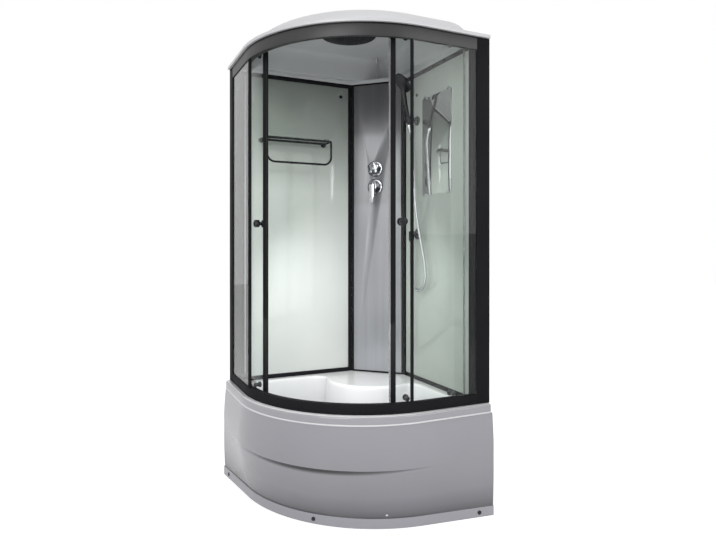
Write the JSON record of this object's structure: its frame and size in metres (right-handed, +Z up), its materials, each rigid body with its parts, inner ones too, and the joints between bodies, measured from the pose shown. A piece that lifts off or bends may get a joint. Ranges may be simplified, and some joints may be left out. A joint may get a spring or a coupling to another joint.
{
  "type": "shower cabin",
  "caption": "Quadrant shower cabin for a corner: deep tray with a curved apron, sliding curved glass doors, wall panels, mixer column, domed roof with rain head",
  "frame": {"origin": "on the floor, at the middle of the cabin's square footprint", "axes": "+Z up; +X towards the side wall with the mirror, +Y towards the back wall with the shelf; the curved front faces -X -Y"},
  "size_m": [0.9003, 0.9003, 2.082],
  "materials": {
    "acrylic": "gloss white",
    "roof_plastic": "satin white",
    "black_anodised": "satin black",
    "clear_glass": "clear, polished",
    "panel_glass": "white painted back, polished",
    "column_panel": "satin silver",
    "chrome": "polished",
    "brass": "cast and turned",
    "galvanised": "zinc coated",
    "braid": "woven wire",
    "black_plastic": "satin black",
    "wheel_plastic": "moulded",
    "waste_plastic": "moulded white",
    "seal": "smooth",
    "mirror": "polished"
  },
  "bodies": {
    "cabin": {"shower_tray": "acrylic", "front_panel": "acrylic", "roof_shell": "roof_plastic", "tray_frame": "galvanised", "levelling_feet": "galvanised", "drain_trap": "waste_plastic", "bottom_rail": "black_anodised", "top_rail": "black_anodised", "right_post": "black_anodised", "left_post": "black_anodised", "right_fixed_glass": "clear_glass", "left_fixed_glass": "clear_glass", "right_end_profile": "black_anodised", "left_end_profile": "black_anodised", "back_wall_frame": "black_anodised", "side_wall_frame": "black_anodised", "back_wall_panel": "panel_glass", "side_wall_panel": "panel_glass", "column_panel": "column_panel", "column_trims": "black_anodised", "mixer_body": "brass", "valve_plates": "chrome", "riser_hose": "braid", "handset_feed_hose": "braid", "rain_head_inlet": "chrome", "hose_outlet": "black_plastic", "handset_holder": "black_plastic", "shower_hose": "chrome", "shelf_glass": "clear_glass", "shelf_frame": "black_anodised", "mirror": "mirror", "mirror_clips": "chrome", "cover_caps": "chrome"},
    "right_door": {"right_door_glass": "clear_glass", "right_door_stile": "black_anodised", "right_door_seals": "seal", "right_door_knob": "black_plastic", "right_roller_mounts": "black_plastic"},
    "right_top_front_roller": {"right_top_front_roller": "wheel_plastic"},
    "right_top_rear_roller": {"right_top_rear_roller": "wheel_plastic"},
    "right_bottom_front_roller": {"right_bottom_front_roller": "wheel_plastic"},
    "right_bottom_rear_roller": {"right_bottom_rear_roller": "wheel_plastic"},
    "left_door": {"left_door_glass": "clear_glass", "left_door_stile": "black_anodised", "left_door_seals": "seal", "left_door_knob": "black_plastic", "left_roller_mounts": "black_plastic"},
    "left_top_front_roller": {"left_top_front_roller": "wheel_plastic"},
    "left_top_rear_roller": {"left_top_rear_roller": "wheel_plastic"},
    "left_bottom_front_roller": {"left_bottom_front_roller": "wheel_plastic"},
    "left_bottom_rear_roller": {"left_bottom_rear_roller": "wheel_plastic"},
    "drain_cover": {"drain_cover": "chrome"},
    "rain_head": {"rain_head": "black_plastic"},
    "mixer_hub": {"mixer_hub": "chrome"},
    "mixer_lever": {"mixer_lever": "chrome"},
    "diverter_knob": {"diverter_knob": "chrome"},
    "handset": {"handset_cradle": "black_plastic", "hand_shower": "black_plastic", "handset_nut": "chrome"},
    "hose_nut": {"hose_nut": "chrome"}
  },
  "joints": [
    {"name": "right_door_travel", "type": "hinge", "parent": "cabin", "child": "right_door", "pos_m": [0.1757, 0.2587, 1.193], "axis": [0, 0, 1], "range_deg": [-25.5, 0]},
    {"name": "right_top_front_roller_spin", "type": "hinge", "parent": "right_door", "child": "right_top_front_roller", "pos_m": [0.08209, -0.39125, 1.9038], "axis": [-0.2079, -0.9781, 0], "range_deg": [0, 1620]},
    {"name": "right_top_rear_roller_spin", "type": "hinge", "parent": "right_door", "child": "right_top_rear_roller", "pos_m": [0.29141, -0.39399, 1.9038], "axis": [0.1822, -0.9833, 0], "range_deg": [0, 1620]},
    {"name": "right_bottom_front_roller_spin", "type": "hinge", "parent": "right_door", "child": "right_bottom_front_roller", "pos_m": [0.08209, -0.39125, 0.4988], "axis": [-0.2079, -0.9781, 0], "range_deg": [0, 1620]},
    {"name": "right_bottom_rear_roller_spin", "type": "hinge", "parent": "right_door", "child": "right_bottom_rear_roller", "pos_m": [0.29141, -0.39399, 0.4988], "axis": [0.1822, -0.9833, 0], "range_deg": [0, 1620]},
    {"name": "left_door_travel", "type": "hinge", "parent": "cabin", "child": "left_door", "pos_m": [0.2587, 0.1757, 1.193], "axis": [0, 0, 1], "range_deg": [0, 25.5]},
    {"name": "left_top_front_roller_spin", "type": "hinge", "parent": "left_door", "child": "left_top_front_roller", "pos_m": [-0.39125, 0.08209, 1.9038], "axis": [-0.9781, -0.2079, 0], "range_deg": [-1620, 0]},
    {"name": "left_top_rear_roller_spin", "type": "hinge", "parent": "left_door", "child": "left_top_rear_roller", "pos_m": [-0.39399, 0.29141, 1.9038], "axis": [-0.9833, 0.1822, 0], "range_deg": [-1620, 0]},
    {"name": "left_bottom_front_roller_spin", "type": "hinge", "parent": "left_door", "child": "left_bottom_front_roller", "pos_m": [-0.39125, 0.08209, 0.4988], "axis": [-0.9781, -0.2079, 0], "range_deg": [-1620, 0]},
    {"name": "left_bottom_rear_roller_spin", "type": "hinge", "parent": "left_door", "child": "left_bottom_rear_roller", "pos_m": [-0.39399, 0.29141, 0.4988], "axis": [-0.9833, 0.1822, 0], "range_deg": [-1620, 0]},
    {"name": "drain_cover_lift", "type": "slide", "parent": "cabin", "child": "drain_cover", "axis": [0, 0, 1], "range_m": [0, 0.02]},
    {"name": "rain_head_tilt", "type": "hinge", "parent": "cabin", "child": "rain_head", "pos_m": [-0.016, -0.047, 2.028], "axis": [1, 0, 0], "range_deg": [-12, 12]},
    {"name": "mixer_turn", "type": "hinge", "parent": "cabin", "child": "mixer_hub", "pos_m": [0.27374, 0.28929, 1.392], "axis": [-0.7071, -0.7071, 0], "range_deg": [-50, 50]},
    {"name": "mixer_lever_lift", "type": "hinge", "parent": "mixer_hub", "child": "mixer_lever", "pos_m": [0.25655, 0.27211, 1.392], "axis": [-0.7071, 0.7071, 0], "range_deg": [0, 25]},
    {"name": "diverter_turn", "type": "hinge", "parent": "cabin", "child": "diverter_knob", "pos_m": [0.27374, 0.28929, 1.484], "axis": [-0.7071, -0.7071, 0], "range_deg": [-72, 72]},
    {"name": "handset_tilt", "type": "hinge", "parent": "cabin", "child": "handset", "pos_m": [0.37, 0.06, 1.69], "axis": [0, 1, 0], "range_deg": [-18, 8], "deforming": ["shower_hose"]},
    {"name": "hose_nut_turn", "type": "hinge", "parent": "cabin", "child": "hose_nut", "pos_m": [0.355, 0.056, 1.101], "axis": [0, 0, 1], "continuous": true}
  ],
  "couplings": [
    {"joint": "right_top_front_roller_spin", "follows": "right_door_travel", "ratio": -62.401},
    {"joint": "right_top_rear_roller_spin", "follows": "right_door_travel", "ratio": -63.128},
    {"joint": "right_bottom_front_roller_spin", "follows": "right_door_travel", "ratio": -62.401},
    {"joint": "right_bottom_rear_roller_spin", "follows": "right_door_travel", "ratio": -63.128},
    {"joint": "left_top_front_roller_spin", "follows": "left_door_travel", "ratio": -62.401},
    {"joint": "left_top_rear_roller_spin", "follows": "left_door_travel", "ratio": -63.128},
    {"joint": "left_bottom_front_roller_spin", "follows": "left_door_travel", "ratio": -62.401},
    {"joint": "left_bottom_rear_roller_spin", "follows": "left_door_travel", "ratio": -63.128}
  ]
}
